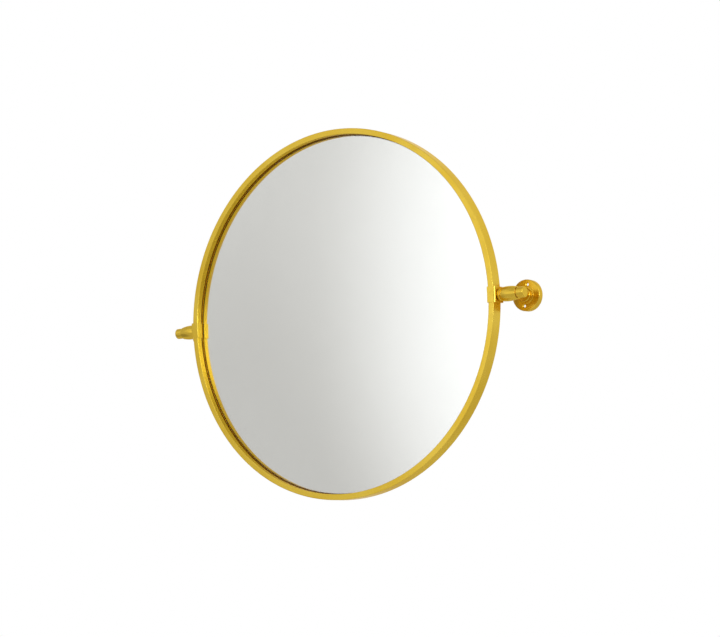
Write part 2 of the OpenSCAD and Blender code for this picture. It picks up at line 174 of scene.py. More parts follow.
class MirrorSizes(bpy.types.PropertyGroup):
    rim_width: length("Rim width", "Width of the rim seen from the front", 9.6)
    rim_edge: length("Rim edge", "Radius of the rim's long edges", 0.8)
    glass_seam: length("Glass seam", "Width of the ground seam on the glass edge", 0.3)
    saddle_height: length("Saddle height", "Height of the saddle along the rim", 25.4)
    saddle_flange: length("Saddle flange", "Thickness of the saddle's flange and lip", 1.2)
    wrap_gap: length("Wrap gap", "Gap between a saddle and the rim", 0.1)
    collar_radius: length("Collar radius", "Radius of the collar on the saddle", 10.0)
    collar_length: length("Collar length", "Length of the collar", 2.6)
    collar_edge: length("Collar edge", "Radius of the collar's outer edge", 1.8)
    bolt_radius: length("Bolt radius", "Radius of the pivot bolt", 3.0)
    bush_radius: length("Bush radius", "Outside radius of the nylon bush", 4.66)
    barrel_radius: length("Barrel radius", "Largest radius of the barrel", 12.0)
    barrel_crown: length("Barrel crown", "Distance from the barrel's inner end to its largest radius", 10.6)
    barrel_arc: length("Barrel arc", "Radius of the arc along the barrel's side", 70.0)
    barrel_edge: length("Barrel edge", "Radius of the barrel's end edges", 0.5)
    spigot_radius: length("Spigot radius", "Radius of the groove between barrel and cap", 7.6)
    groove: length("Groove", "Width of the groove between barrel and cap", 0.8)
    cap_edge: length("Cap edge", "Radius of the end cap's outer edge", 1.4)
    post_radius: length("Post radius", "Radius of the post", 9.4)
    plate_height: length("Plate height", "Height of the wall plate from the wall to its face", 9.6)
    plate_face: length("Plate face", "Thickness of the hollow plate's face", 3.2)
    plate_skirt: length("Plate skirt", "Wall of the plate's skirt", 2.4)
    plate_edge: length("Plate edge", "Radius of the plate's front edge", 1.4)
    hub_wall: length("Hub wall", "Wall of the raised hub around the post", 1.55)
    hub_height: length("Hub height", "Height of the hub above the plate's face", 6.4)
    hub_edge: length("Hub edge", "Radius of the hub's rounded outer edge", 1.4)
    flare: length("Flare", "Radius of the hollow flare from hub to plate", 2.2)
    bead: length("Bead", "Radius of the low bead round the flare", 0.8)
    boss_wall: length("Boss wall", "Wall of the boss behind the plate's face", 1.8)
    hole_pitch: length("Hole pitch", "Distance between a plate's two screw holes", 34.4)
    hole_radius: length("Hole radius", "Radius of a wall screw hole", 2.25)
    hole_sink: length("Hole countersink", "Widening of a wall screw hole at the plate's face", 0.85)
    hole_turn: FloatProperty(
        name="Hole turn", description="Angle from the vertical of the line through a plate's screw holes",
        default=math.radians(12), subtype="ANGLE", unit="ROTATION",
    )
    tab_count: IntProperty(
        name="Tabs", description="Number of tabs that carry the board", default=8, min=2, max=24
    )
    show_recesses: BoolProperty(
        name="Screw recesses", description="Cut the driver recesses into the screw heads", default=True
    )


class MirrorColours(bpy.types.PropertyGroup):
    rim_gold: colour("Rim gold", "Satin gold of the rim and saddles", (0.80, 0.56, 0.056))
    # Painted shade: a deeper gold on the rim's inner wall stands for the shade in the rim's hollow.
    inner_gold: colour("Inner gold", "Deeper gold on the rim's inner wall", (0.80, 0.50, 0.026))
    turned_gold: colour("Turned gold", "Satin gold of the barrels and end caps", (0.79, 0.54, 0.052))
    # Painted shade: the plates and posts get a deeper gold than the barrels for the shade they sit in behind
    # the rim.
    wall_gold: colour("Wall gold", "Deeper gold of the wall plates and posts", (0.75, 0.49, 0.04))
    silver: colour("Silver", "Silvering behind the glass", (0.91, 0.91, 0.90))
    glass: colour("Glass", "Tint of the float glass", (0.985, 0.99, 0.982))
    board: colour("Board", "Bare fibreboard behind the glass", (0.46, 0.31, 0.16))
    # Painted shade of the gap between the glass and the rim, in dark brown on the glass's seam.
    sealer: colour("Sealer", "Brown sealer between the edge of the glass and the rim", (0.15, 0.06, 0.003))
    # Painted reflection: metallic gold on the glass's edge stands for the rim's gold reflected there.
    ground_edge: colour("Ground edge", "Edge of the glass, which shows the rim's gold", (0.85, 0.50, 0.03))
    tape: colour("Tape", "Foam tape between glass and board", (0.75, 0.75, 0.70))
    zinc: colour("Zinc", "Bright zinc plating", (0.60, 0.61, 0.63))
    nylon: colour("Nylon", "Bush in the pivot", (0.035, 0.033, 0.030))
    satin: share("Satin", "Mean roughness of the gold", 0.21)
    backdrop: colour("Backdrop", "Background behind the mirror", (1.0, 1.0, 1.0))
    floor: colour("Floor", "Plain floor", (0.92, 0.92, 0.92))


NOT_LENGTHS = ("tab_count", "show_recesses", "hole_turn")


def sizes():
    """Every length in millimetres, and angles, counts and choices as they are."""
    given = bpy.context.scene.mirror_sizes
    table = {key: getattr(given, key) for key in MirrorSizes.__annotations__}
    return {key: value if key in NOT_LENGTHS else value / MM for key, value in table.items()}


def colours():
    return bpy.context.scene.mirror_colours


# ---- Shader maths written as expressions ----

class Signal:
    """A shader socket that ordinary arithmetic works on."""

    def __init__(self, bench, socket):
        self.bench = bench
        self.socket = socket

    def _maths(self, operation, *values):
        return self.bench.node("ShaderNodeMath", {"operation": operation}, *values)

    def __add__(self, other):
        return self._maths("ADD", self, other)

    def __radd__(self, other):
        return self._maths("ADD", other, self)

    def __sub__(self, other):
        return self._maths("SUBTRACT", self, other)

    def __rsub__(self, other):
        return self._maths("SUBTRACT", other, self)

    def __mul__(self, other):
        return self._maths("MULTIPLY", self, other)

    def __rmul__(self, other):
        return self._maths("MULTIPLY", other, self)

    def __truediv__(self, other):
        return self._maths("DIVIDE", self, other)

    def __rtruediv__(self, other):
        return self._maths("DIVIDE", other, self)

    def __abs__(self):
        return self._maths("ABSOLUTE", self)

    def sqrt(self):
        return self._maths("SQRT", self)

    def at_least(self, other):
        return self._maths("MAXIMUM", self, other)


class Bench:
    """Builds one node tree."""

    def __init__(self, tree):
        self.tree = tree
        tree.nodes.clear()

    def node(self, kind, settings=None, *values, out=0, **named):
        """Adds a node: settings first, then values or links by socket place or by name."""
        made = self.tree.nodes.new(kind)
        for key, value in (settings or {}).items():
            setattr(made, key, value)
        for place, value in enumerate(values):
            self._feed(made.inputs[place], value)
        for key, value in named.items():
            self._feed(made.inputs[key.replace("_", " ")], value)
        return Signal(self, made.outputs[out]) if len(made.outputs) else None

    def _feed(self, socket, value):
        if value is None:
            return
        if isinstance(value, Signal):
            self.tree.links.new(value.socket, socket)
        elif socket.type == "RGBA" and len(value) == 3:
            socket.default_value = (*value, 1.0)
        else:
            socket.default_value = value

    def split(self, vector):
        made = self.tree.nodes.new("ShaderNodeSeparateXYZ")
        self.tree.links.new(vector.socket, made.inputs[0])
        return [Signal(self, made.outputs[i]) for i in range(3)]

    def join(self, x, y, z):
        return self.node("ShaderNodeCombineXYZ", None, x, y, z)

    def noise(self, vector, scale, detail=2.0, roughness=0.5):
        return self.node(
            "ShaderNodeTexNoise", None, Vector=vector, Scale=scale, Detail=detail, Roughness=roughness)

    def blend(self, amount, first, second):
        """Colour between two colours."""
        unused = (None,) * 5
        return self.node(
            "ShaderNodeMix", {"data_type": "RGBA", "clamp_factor": True},
            amount, *unused, first, second, out=2)

    def range(self, value, low, high, to_low, to_high):
        """Smooth step from one value to another while the first goes from low to high."""
        return self.node(
            "ShaderNodeMapRange", {"interpolation_type": "SMOOTHSTEP", "clamp": True},
            value, low, high, to_low, to_high)

    def bump(self, height, strength, distance):
        return self.node("ShaderNodeBump", None, Strength=strength, Distance=distance, Height=height)

    def object_place(self):
        return self.node("ShaderNodeTexCoord", out=3)

    def raised(self):
        """Pointiness: over a half on raised edges, where plating wears."""
        return self.node("ShaderNodeNewGeometry", out=7)


def material(name):
    made = bpy.data.materials.new(name)
    made.use_nodes = True
    return made, Bench(made.node_tree)


def surface(bench, **sockets):
    """Principled surface, with constants set straight on its sockets."""
    shader = bench.node("ShaderNodeBsdfPrincipled", None, **sockets)
    bench.node("ShaderNodeOutputMaterial", None, shader)


def around_axis(bench, axis, centre, two_sided):
    """Polar reading of a place around an axis of the object, in metres: unit direction pair, radius and place
    along the axis. two_sided folds the left bracket onto the right one first."""
    x, y, z = bench.split(bench.object_place())
    if two_sided:
        x = abs(x)
    parts = {"X": (y, z, x), "Y": (x, z, y)}[axis]
    u, v, along = parts[0] - centre[0], parts[1] - centre[1], parts[2]
    radius = (u * u + v * v).sqrt().at_least(1e-5)
    return u / radius, v / radius, radius, along


# ---- Finishes ----

def brushed_gold(name, base, axis, centre, turns_scale, grain, two_sided=False, inner_wall=None):
    """Satin gold plating over metal that was brushed or turned around an axis. turns_scale is the scale of
    its grain round the axis, and grain the scale across. An inner wall's radius in millimetres gives a deeper
    gold inside it, which is painted shade in the hollow of the rim."""
    made, bench = material(name)
    u, v, radius, along = around_axis(bench, axis, centre, two_sided)
    across = (radius + along * 1.31) * grain
    streaks = bench.noise(bench.join(u * turns_scale, v * turns_scale, across), 1.0, 3.0, 0.6)
    fine = bench.noise(bench.join(u * turns_scale * 3.1, v * turns_scale * 3.1, across * 3.7), 1.0, 2.0, 0.5)
    place = bench.object_place()
    cloud = bench.noise(place, 14.0, 2.0, 0.5)
    smudge = bench.noise(place, 55.0, 3.0, 0.6)
    pale = tuple(min(1.0, c * k) for c, k in zip(base, (1.06, 1.09, 1.5)))
    deep = tuple(c * k for c, k in zip(base, (0.93, 0.86, 0.62)))
    shade = bench.range(streaks * 0.62 + cloud * 0.38, 0.34, 0.66, 0.0, 1.0)
    tone = bench.blend(shade, deep, pale)
    worn = bench.range(bench.raised(), 0.50, 0.56, 0.0, 0.35)
    tone = bench.blend(worn, tone, tuple(min(1.0, c * 1.12 + 0.03) for c in base))
    # Painted shade: behind the front face, the inner wall turns to a deeper gold for the shade in the rim's
    # hollow.
    if inner_wall is not None:
        inside = bench.range(radius, inner_wall * MM, (inner_wall + 0.4) * MM, 1.0, 0.0)
        behind = bench.range(along, (RIM_FRONT + 0.2) * MM, (RIM_FRONT + 0.8) * MM, 0.0, 1.0)
        tone = bench.blend(inside * behind, tone, tuple(colours().inner_gold))
    satin = colours().satin
    rough = satin - 0.05 + 0.10 * streaks + 0.09 * bench.range(smudge, 0.45, 0.75, 0.0, 1.0)
    relief = bench.bump(streaks * 0.7 + fine * 0.3, 0.12, 0.00003)
    surface(bench, Base_Color=tone, Metallic=1.0, Roughness=rough, Normal=relief,
            Specular_Tint=(1.0, 0.86, 0.50), Coat_Weight=0.10, Coat_Roughness=0.12, Coat_IOR=1.45)
    return made


def rim_gold():
    return brushed_gold(
        "rim_gold", tuple(colours().rim_gold), "Y", (0.0, 0.0), turns_scale=9.0, grain=5200.0,
        inner_wall=RIM_RADIUS - sizes()["rim_width"])


def pivot_gold():
    return brushed_gold(
        "pivot_gold", tuple(colours().turned_gold), "X", (PIVOT_Y * MM, 0.0), turns_scale=2.5, grain=4200.0)


# Painted shade: a deeper gold than the barrels' stands for the shade of the plates and posts behind the rim.
def wall_gold():
    return brushed_gold(
        "wall_gold", tuple(colours().wall_gold), "Y", (POST_X * MM, 0.0), turns_scale=2.5, grain=4200.0,
        two_sided=True)


def mirror_silver():
    """Silvering: a clean reflection that hazes faintly at its very edge."""
    made, bench = material("mirror_silver")
    x, y, z = bench.split(bench.object_place())
    radius = (x * x + z * z).sqrt()
    edge = bench.range(radius, (GLASS_RADIUS - 2.5) * MM, (GLASS_RADIUS - 0.4) * MM, 0.0, 1.0)
    cloud = bench.noise(bench.object_place(), 30.0, 3.0, 0.6)
    silver = tuple(colours().silver)
    tone = bench.blend(edge * 0.5, silver, tuple(c * 0.6 for c in silver))
    tone = bench.blend(bench.range(cloud, 0.4, 0.7, 0.0, 0.4), tone, tuple(c * 0.99 for c in silver))
    surface(bench, Base_Color=tone, Metallic=1.0, Roughness=edge * 0.25)
    return made


def float_glass():
    """Clear float glass. Outside its radius it is opaque: dark brown on the seam, which is painted shade of
    the gap to the rim, and behind it the edge of the glass in metallic gold, which is a painted reflection of
    the rim."""
    made, bench = material("float_glass")
    x, y, z = bench.split(bench.object_place())
    radius = (x * x + z * z).sqrt()
    painted_edge_mask = bench.range(radius, (GLASS_RADIUS - 0.35) * MM, (GLASS_RADIUS - 0.25) * MM, 0.0, 1.0)
    clear = tuple(colours().glass)
    cloud = bench.noise(bench.object_place(), 30.0, 2.0, 0.5)
    tone = bench.blend(cloud, clear, tuple(c * 0.995 for c in clear))
    glass = bench.node(
        "ShaderNodeBsdfPrincipled", None, Base_Color=tone, Roughness=0.0, Transmission_Weight=1.0, IOR=1.52)
    depth = y - RIM_FRONT * MM
    seam_end = GLASS_DEPTH + sizes()["glass_seam"]
    deep = bench.range(depth, (seam_end + 0.02) * MM, (seam_end + 0.1) * MM, 0.0, 1.0)
    # Painted shade of the gap on the seam, and a painted reflection of the rim's gold on the edge behind it.
    brown = bench.blend(deep, tuple(colours().sealer), tuple(colours().ground_edge))
    edge = bench.node("ShaderNodeBsdfPrincipled", None, Base_Color=brown, Metallic=deep, Roughness=0.4)
    mixed = bench.node("ShaderNodeMixShader", None, painted_edge_mask, glass, edge)
    bench.node("ShaderNodeOutputMaterial", None, mixed)
    return made


def fibreboard():
    """Bare fibreboard: short fibres in a mottled brown."""
    made, bench = material("fibreboard")
    place = bench.object_place()
    grain = bench.noise(place, 900.0, 3.0, 0.6)
    cloud = bench.noise(place, 9.0, 3.0, 0.55)
    stretched = bench.node("ShaderNodeMapping", None, place, None, None, (1500.0, 300.0, 260.0))
    fibres = bench.noise(stretched, 1.0, 3.0, 0.65)
    bare = tuple(colours().board)
    tone = bench.blend(bench.range(fibres * 0.7 + cloud * 0.3, 0.35, 0.7, 0.0, 1.0),
                       tuple(c * 0.82 for c in bare), tuple(c * 1.15 for c in bare))
    surface(bench, Base_Color=tone, Roughness=0.62 + 0.2 * cloud,
            Normal=bench.bump(grain + fibres, 0.35, 0.00012))
    return made


def foam_tape():
    made, bench = material("foam_tape")
    cells = bench.node("ShaderNodeTexVoronoi", None, Vector=bench.object_place(), Scale=2600.0)
    foam = tuple(colours().tape)
    tone = bench.blend(bench.range(cells, 0.1, 0.6, 0.0, 1.0), tuple(c * 0.8 for c in foam), foam)
    surface(bench, Base_Color=tone, Roughness=0.9, Normal=bench.bump(cells, 0.5, 0.0002))
    return made


def zinc_plate():
    """Bright zinc plating with a faint bluish and yellowish passivation."""
    made, bench = material("zinc_plate")
    place = bench.object_place()
    cloud = bench.noise(place, 160.0, 3.0, 0.6)
    grain = bench.noise(place, 2600.0, 2.0, 0.5)
    zinc = tuple(colours().zinc)
    bluish, yellowish = (
        tuple(c * k for c, k in zip(zinc, shares)) for shares in ((0.92, 0.95, 1.04), (1.08, 1.04, 0.9)))
    tone = bench.blend(bench.range(cloud, 0.35, 0.65, 0.0, 1.0), bluish, yellowish)
    surface(bench, Base_Color=tone, Metallic=1.0, Roughness=0.26 + 0.12 * cloud + 0.08 * grain,
            Normal=bench.bump(grain, 0.2, 0.00005))
    return made


def nylon():
    made, bench = material("nylon")
    grain = bench.noise(bench.object_place(), 3000.0, 3.0, 0.6)
    base = tuple(colours().nylon)
    tone = bench.blend(grain, tuple(c * 0.8 for c in base), tuple(c * 1.3 for c in base))
    surface(bench, Base_Color=tone, Roughness=0.42 + 0.15 * grain, Normal=bench.bump(grain, 0.2, 0.00004))
    return made


FINISHES = {
    "rim_gold": (rim_gold, "gold_rim"),
    "pivot_gold": (pivot_gold, "gold_turned"),
    "wall_gold": (wall_gold, "gold_turned"),
    "mirror_silver": (mirror_silver, "mirror_glass"),
    "float_glass": (float_glass, "mirror_glass"),
    "fibreboard": (fibreboard, "fibreboard"),
    "foam_tape": (foam_tape, "foam_tape"),
    "zinc_plate": (zinc_plate, "zinc_steel"),
    "nylon": (nylon, "nylon"),
}


def finish(name):
    """The named finish, made the first time it is asked for."""
    return bpy.data.materials.get(name) or FINISHES[name][0]()


# ---- Shapes ----

def outline(bm, corners, closed):
    """Chain of edges through corners (radius, height, rounding), each corner rounded where it says so."""
    verts = [bm.verts.new((corner[0], 0.0, corner[1])) for corner in corners]
    for first, second in zip(verts, verts[1:]):
        bm.edges.new((first, second))
    if closed:
        bm.edges.new((verts[-1], verts[0]))
    for vert, corner in zip(verts, corners):
        if len(corner) > 2 and corner[2] > 0:
            bmesh.ops.bevel(
                bm, geom=[vert], offset=corner[2], offset_type="OFFSET", segments=5, profile=0.5,
                affect="VERTICES", material=-1, clamp_overlap=False,
            )
    return verts


def shift(bm, x, y, z):
    bmesh.ops.translate(bm, vec=(x, y, z), verts=bm.verts[:])


def turn(bm, angle, axis="Z"):
    bmesh.ops.rotate(bm, verts=bm.verts[:], cent=(0, 0, 0), matrix=Matrix.Rotation(angle, 3, axis))


def block(x, y, z):
    """Box around the origin."""
    bm = bmesh.new()
    bmesh.ops.create_cube(bm, size=1.0)
    bmesh.ops.scale(bm, vec=(x, y, z), verts=bm.verts[:])
    return bm


def rod(radius, length, sides):
    """Upright prism around the origin."""
    bm = bmesh.new()
    bmesh.ops.create_cone(bm, cap_ends=True, segments=sides, radius1=radius, radius2=radius, depth=length)
    return bm


def turned(corners, steps=96, closed=True, angle=2 * math.pi):
    """Solid of revolution around Z from an outline, or a sector of it around +X."""
    bm = bmesh.new()
    outline(bm, corners, closed)
    if angle < 2 * math.pi:
        face = bmesh.ops.contextual_create(bm, geom=bm.edges[:])["faces"]
        turn(bm, -angle / 2)
        bmesh.ops.spin(bm, geom=face + bm.edges[:] + bm.verts[:], cent=(0, 0, 0), axis=(0, 0, 1),
                       angle=angle, steps=steps, use_merge=False)
    else:
        bmesh.ops.spin(bm, geom=bm.verts[:] + bm.edges[:], cent=(0, 0, 0), axis=(0, 0, 1),
                       angle=angle, steps=steps, use_merge=True)
    bmesh.ops.remove_doubles(bm, verts=bm.verts[:], dist=1e-4)
    bmesh.ops.recalc_face_normals(bm, faces=bm.faces[:])
    return bm


def merge(target, source):
    """Adds one bmesh to another."""
    carrier = bpy.data.meshes.new("carrier")
    source.to_mesh(carrier)
    source.free()
    target.from_mesh(carrier)
    bpy.data.meshes.remove(carrier)


def arc_corners(centre_r, centre_z, radius, z_from, z_to, steps):
    """Points along an arc that bulges away from the axis, made by spinning one vertex."""
    bm = bmesh.new()
    start = math.asin((z_from - centre_z) / radius)
    end = math.asin((z_to - centre_z) / radius)
    vert = bm.verts.new((centre_r + radius * math.cos(start), 0.0, z_from))
    bmesh.ops.spin(bm, geom=[vert], cent=(centre_r, 0, centre_z), axis=(0, -1, 0),
                   angle=end - start, steps=steps, use_merge=False)
    points = sorted(((v.co.x, v.co.z) for v in bm.verts), key=lambda p: p[1])
    bm.free()
    return points


def to_side(side):
    """Mirrors what is on the right over to the left where side is -1."""
    return Matrix.Diagonal((side, 1, 1, 1))


def in_rim():
    """Turns Z into depth behind the rim's front face."""
    return Matrix.Translation((0, RIM_FRONT, 0)) @ Matrix.Rotation(-math.pi / 2, 4, "X")


def on_pivot(side):
    """Turns Z into distance out from the rim's side along the pivot axis."""
    place = Matrix.Translation((RIM_RADIUS, PIVOT_Y, 0)) @ Matrix.Rotation(math.pi / 2, 4, "Y")
    return to_side(side) @ place


def on_wall(side):
    """Turns Z into distance out from the wall along the post."""
    place = Matrix.Translation((POST_X, 0, 0)) @ Matrix.Rotation(math.pi / 2, 4, "X")
    return to_side(side) @ place


def moved(bm, place):
    """Puts a bmesh in its place, with its faces outwards also where the place mirrors it."""
    bmesh.ops.transform(bm, matrix=place, verts=bm.verts[:])
    if place.to_3x3().determinant() < 0:
        bmesh.ops.reverse_faces(bm, faces=bm.faces[:])
    return bm


def cut(piece, *cutters):
    """Cuts away the shapes of other bmeshes."""
    for bm in cutters:
        tool = solid("cutter", bm)
        modifier = piece.modifiers.new("cut", "BOOLEAN")
        modifier.operation = "DIFFERENCE"
        modifier.solver = "EXACT"
        modifier.object = tool
        settle(piece)
        bpy.data.objects.remove(tool)
    return piece


def settle(piece):
    """Makes the modifiers part of the mesh."""
    bpy.context.view_layer.update()
    seen = piece.evaluated_get(bpy.context.evaluated_depsgraph_get())
    mesh = bpy.data.meshes.new_from_object(seen)
    old = piece.data
    piece.modifiers.clear()
    piece.data = mesh
    bpy.data.meshes.remove(old)


def solid(name, bm):
    """Object from a bmesh in millimetres, which it scales to metres."""
    bmesh.ops.scale(bm, vec=(MM, MM, MM), verts=bm.verts[:])
    mesh = bpy.data.meshes.new(name)
    bm.to_mesh(mesh)
    bm.free()
    made = bpy.data.objects.new(name, mesh)
    bpy.context.scene.collection.objects.link(made)
    return made


def copy_of(piece):
    """The shape of an object as a bmesh in millimetres."""
    bm = bmesh.new()
    bm.from_mesh(piece.data)
    bmesh.ops.scale(bm, vec=(1 / MM,) * 3, verts=bm.verts[:])
    return bm


def finished(piece, finish_name, body, stands_for, sharp=38.0):
    """Shades a piece, gives it its finish and seats it on its body. Edges over the sharp angle stay hard."""
    mesh = piece.data
    mesh.materials.clear()
    mesh.materials.append(finish(finish_name))
    mesh.polygons.foreach_set("use_smooth", [True] * len(mesh.polygons))
    mesh.set_sharp_from_angle(angle=math.radians(sharp))
    weighted = piece.modifiers.new("flat_faces_flat", "WEIGHTED_NORMAL")
    weighted.keep_sharp = True
    weighted.weight = 50
    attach(piece, body)
    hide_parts(*stands_for)
    return piece


def dress(node, finish_name):
    """Gives a CAD node its finish."""
    target = frame["nodes"][node]
    target.data.materials.clear()
    target.data.materials.append(finish(finish_name))


def sharp_edges(bm):
    return [e for e in bm.edges if e.calc_face_angle(0) > 0.9]


def round_edges(bm, edges, size, segments):
    bmesh.ops.bevel(bm, geom=edges, offset=size, offset_type="OFFSET", segments=segments, profile=0.5,
                    affect="EDGES", material=-1, clamp_overlap=True)


# ---- Pieces ----

def rim_piece(s):
    """Rolled rectangular tube."""
    inner, edge = RIM_RADIUS - s["rim_width"], s["rim_edge"]
    bm = turned([
        (inner, 0.0, edge), (RIM_RADIUS, 0.0, edge), (RIM_RADIUS, RIM_DEPTH, edge), (inner, RIM_DEPTH, edge),
    ], steps=320)
    return finished(solid("rim", moved(bm, in_rim())), "rim_gold", MIRROR_BODY, ["rim_frame"])


def tab_angle(s, i):
    """Direction of a tab and its screw from the rim's centre."""
    return (i + 0.5) * 2 * math.pi / s["tab_count"]


def tab_piece(s):
    """Welded tabs inside the rim, with their weld beads."""
    inner = RIM_RADIUS - s["rim_width"]
    back = RIM_DEPTH - TAB_INSET
    front, length = back - TAB_THICKNESS, TAB_REACH + TAB_BITE
    all_tabs = bmesh.new()
    for i in range(s["tab_count"]):
        one = block(length, TAB_WIDTH, TAB_THICKNESS)
        shift(one, inner + TAB_BITE - length / 2, 0, front + TAB_THICKNESS / 2)
        tip = [e for e in one.edges if all(v.co.x < inner - TAB_REACH + 0.1 for v in e.verts)
               and abs(e.verts[0].co.z - e.verts[1].co.z) > 0.5]
        round_edges(one, tip, TAB_CORNER, 4)
        round_edges(one, sharp_edges(one), TAB_EDGE, 1)
        for z in (back, front):
            bead = rod(BEAD_RADIUS, TAB_WIDTH - BEAD_SHORT, 12)
            turn(bead, math.pi / 2, "X")
            shift(bead, inner - BEAD_SINK, 0, z)
            merge(one, bead)
        turn(one, tab_angle(s, i))
        merge(all_tabs, one)
    return finished(solid("rim_tabs", moved(all_tabs, in_rim())), "rim_gold", MIRROR_BODY, ["rim_frame"])


def glass_pieces(s):
    """Float glass with a ground seam and an opaque edge out to the rim, painted with the gap's shade and the
    rim's reflection, and the silvering on its back.
    """
    back = GLASS_DEPTH + GLASS_THICKNESS
    silver_at = back - SILVER_THICKNESS
    seam, gap_fill_radius = s["glass_seam"], RIM_RADIUS - s["rim_width"] - PLAY
    # The pane reaches out to the rim's wall, so that its edge with painted shade and painted reflection fills
    # the gap.
    pane = turned([
        (0.0, GLASS_DEPTH), (GLASS_RADIUS - seam, GLASS_DEPTH), (GLASS_RADIUS, GLASS_DEPTH + seam),
        (gap_fill_radius, GLASS_DEPTH + seam), (gap_fill_radius, silver_at - SILVER_GAP), (0.0, silver_at - SILVER_GAP),
    ], steps=256, closed=False)
    silver = turned([
        (0.0, silver_at), (GLASS_RADIUS, silver_at), (GLASS_RADIUS, back), (0.0, back),
    ], steps=256, closed=False)
    layers = (("glass_pane", pane, "float_glass"), ("glass_silvering", silver, "mirror_silver"))
    for name, bm, finish_name in layers:
        finished(solid(name, moved(bm, in_rim())), finish_name, MIRROR_BODY, ["mirror_glass"], 20.0)


def hex_prism(across_flats, low, high):
    """Upright hexagonal prism, which cuts a key's recess."""
    bm = rod(across_flats / 2 / math.cos(math.pi / 6), high - low, 6)
    shift(bm, 0, 0, (low + high) / 2)
    return bm


def cross_recess(size, low, high):
    """The two wings of a cross recess, each its own closed bmesh."""
    wings = []
    for quarter in (0, math.pi / 2):
        wing = block(size, size * CROSS_WING, high - low)
        for vert in wing.verts:
            if vert.co.z < 0:
                vert.co.x *= CROSS_TAPER
        turn(wing, quarter + CROSS_TURN)
        shift(wing, 0, 0, (low + high) / 2)
        wings.append(wing)
    return wings


def board_screw_piece(s):
    """Pan head screws through the tabs into the board."""
    low, high = box_mm("board_screws")
    tip, head = low.y - RIM_FRONT, high.y - RIM_FRONT
    seat = RIM_DEPTH - TAB_INSET
    one = solid("screw", turned([
        (0.0, tip), (BOARD_SCREW, tip, 0.3), (BOARD_SCREW, seat), (BOARD_SCREW_HEAD, seat, 0.15),
        (BOARD_SCREW_HEAD, head, 0.55), (0.0, head),
    ], steps=32, closed=False))
    if s["show_recesses"]:
        cut(one, *cross_recess(CROSS_SIZE, head - CROSS_DEPTH, head + CUT_OVER))
    radius = RIM_RADIUS - s["rim_width"] - TAB_REACH / 2
    every = bmesh.new()
    for i in range(s["tab_count"]):
        copy = copy_of(one)
        shift(copy, radius, 0, 0)
        turn(copy, tab_angle(s, i))
        merge(every, copy)
    bpy.data.objects.remove(one)
    return finished(solid("tab_screws", moved(every, in_rim())), "zinc_plate", MIRROR_BODY, ["board_screws"])


def saddle_piece(s, name, side):
    """Folded saddle round the rim, with its collar."""
    inner = RIM_RADIUS - s["rim_width"]
    gap, flange = s["wrap_gap"], s["saddle_flange"]
    front, back = -gap - flange, RIM_DEPTH + gap
    outer = RIM_RADIUS + SADDLE_WALL
    lip, lip_end = inner - gap - flange, GLASS_DEPTH - LIP_SHORT
    bm = turned([
        (lip, front, 0.35), (outer, front, SADDLE_CORNER), (outer, back, 0.2), (RIM_RADIUS + gap, back),
        (RIM_RADIUS + gap, -gap), (inner - gap, -gap), (inner - gap, lip_end), (lip, lip_end),
    ], steps=24, angle=SADDLE_ARC)
    moved(bm, to_side(side) @ in_rim())
    half = s["saddle_height"] / 2
    for end in (-1, 1):
        bmesh.ops.bisect_plane(bm, geom=bm.verts[:] + bm.edges[:] + bm.faces[:], plane_co=(0, 0, end * half),
                               plane_no=(0, 0, end), clear_outer=True)
        bmesh.ops.holes_fill(bm, edges=[e for e in bm.edges if e.is_boundary])
    ends = [e for e in sharp_edges(bm) if all(abs(abs(v.co.z) - half) < 1e-3 for v in e.verts)]
    round_edges(bm, ends, SADDLE_END_EDGE, 3)
    root, top = SADDLE_WALL - COLLAR_SINK, SADDLE_WALL + s["collar_length"]
    bore, radius = s["bolt_radius"] + PLAY, s["collar_radius"]
    collar = turned([(bore, root), (radius, root), (radius, top, s["collar_edge"]), (bore, top, 0.2)])
    merge(bm, moved(collar, on_pivot(side)))
    return finished(solid("saddle_body_" + name, bm), "rim_gold", MIRROR_BODY, ["saddle_" + name])


def strap_screw_piece(s, name, side):
    """Countersunk screws that close a saddle."""
    low, high = box_mm("strap_screws_right")
    tip, head = low.y - RIM_FRONT, high.y - RIM_FRONT
    x, z = (low.x + high.x) / 2, high.z - STRAP_SCREW_HEAD
    one = solid("screw", turned([
        (0.0, tip), (STRAP_SCREW, tip, 0.2), (STRAP_SCREW, head - (STRAP_SCREW_HEAD - STRAP_SCREW)),
        (STRAP_SCREW_HEAD, head, 0.06), (0.0, head),
    ], steps=32, closed=False))
    if s["show_recesses"]:
        cut(one, hex_prism(STRAP_KEY, head - STRAP_KEY_DEPTH, head + CUT_OVER))
    both = bmesh.new()
    for end in (-1, 1):
        copy = copy_of(one)
        shift(copy, x, end * z, 0)
        merge(both, copy)
    bpy.data.objects.remove(one)
    piece = solid("strap_screw_pair_" + name, moved(both, to_side(side) @ in_rim()))
    return finished(piece, "rim_gold", MIRROR_BODY, ["strap_screws_" + name])


def barrel_outline(s, grow=0.0):
    """Corners along the barrel's side, from its inner end to its outer end, moved out by grow."""
    start, end = BARREL_START, BARREL_START + BARREL_LENGTH
    arc = s["barrel_arc"]
    side = arc_corners(s["barrel_radius"] - arc, start + s["barrel_crown"], arc + grow, start, end, 22)
    return [(r, z, s["barrel_edge"] if i in (0, len(side) - 1) and not grow else 0.0)
            for i, (r, z) in enumerate(side)]


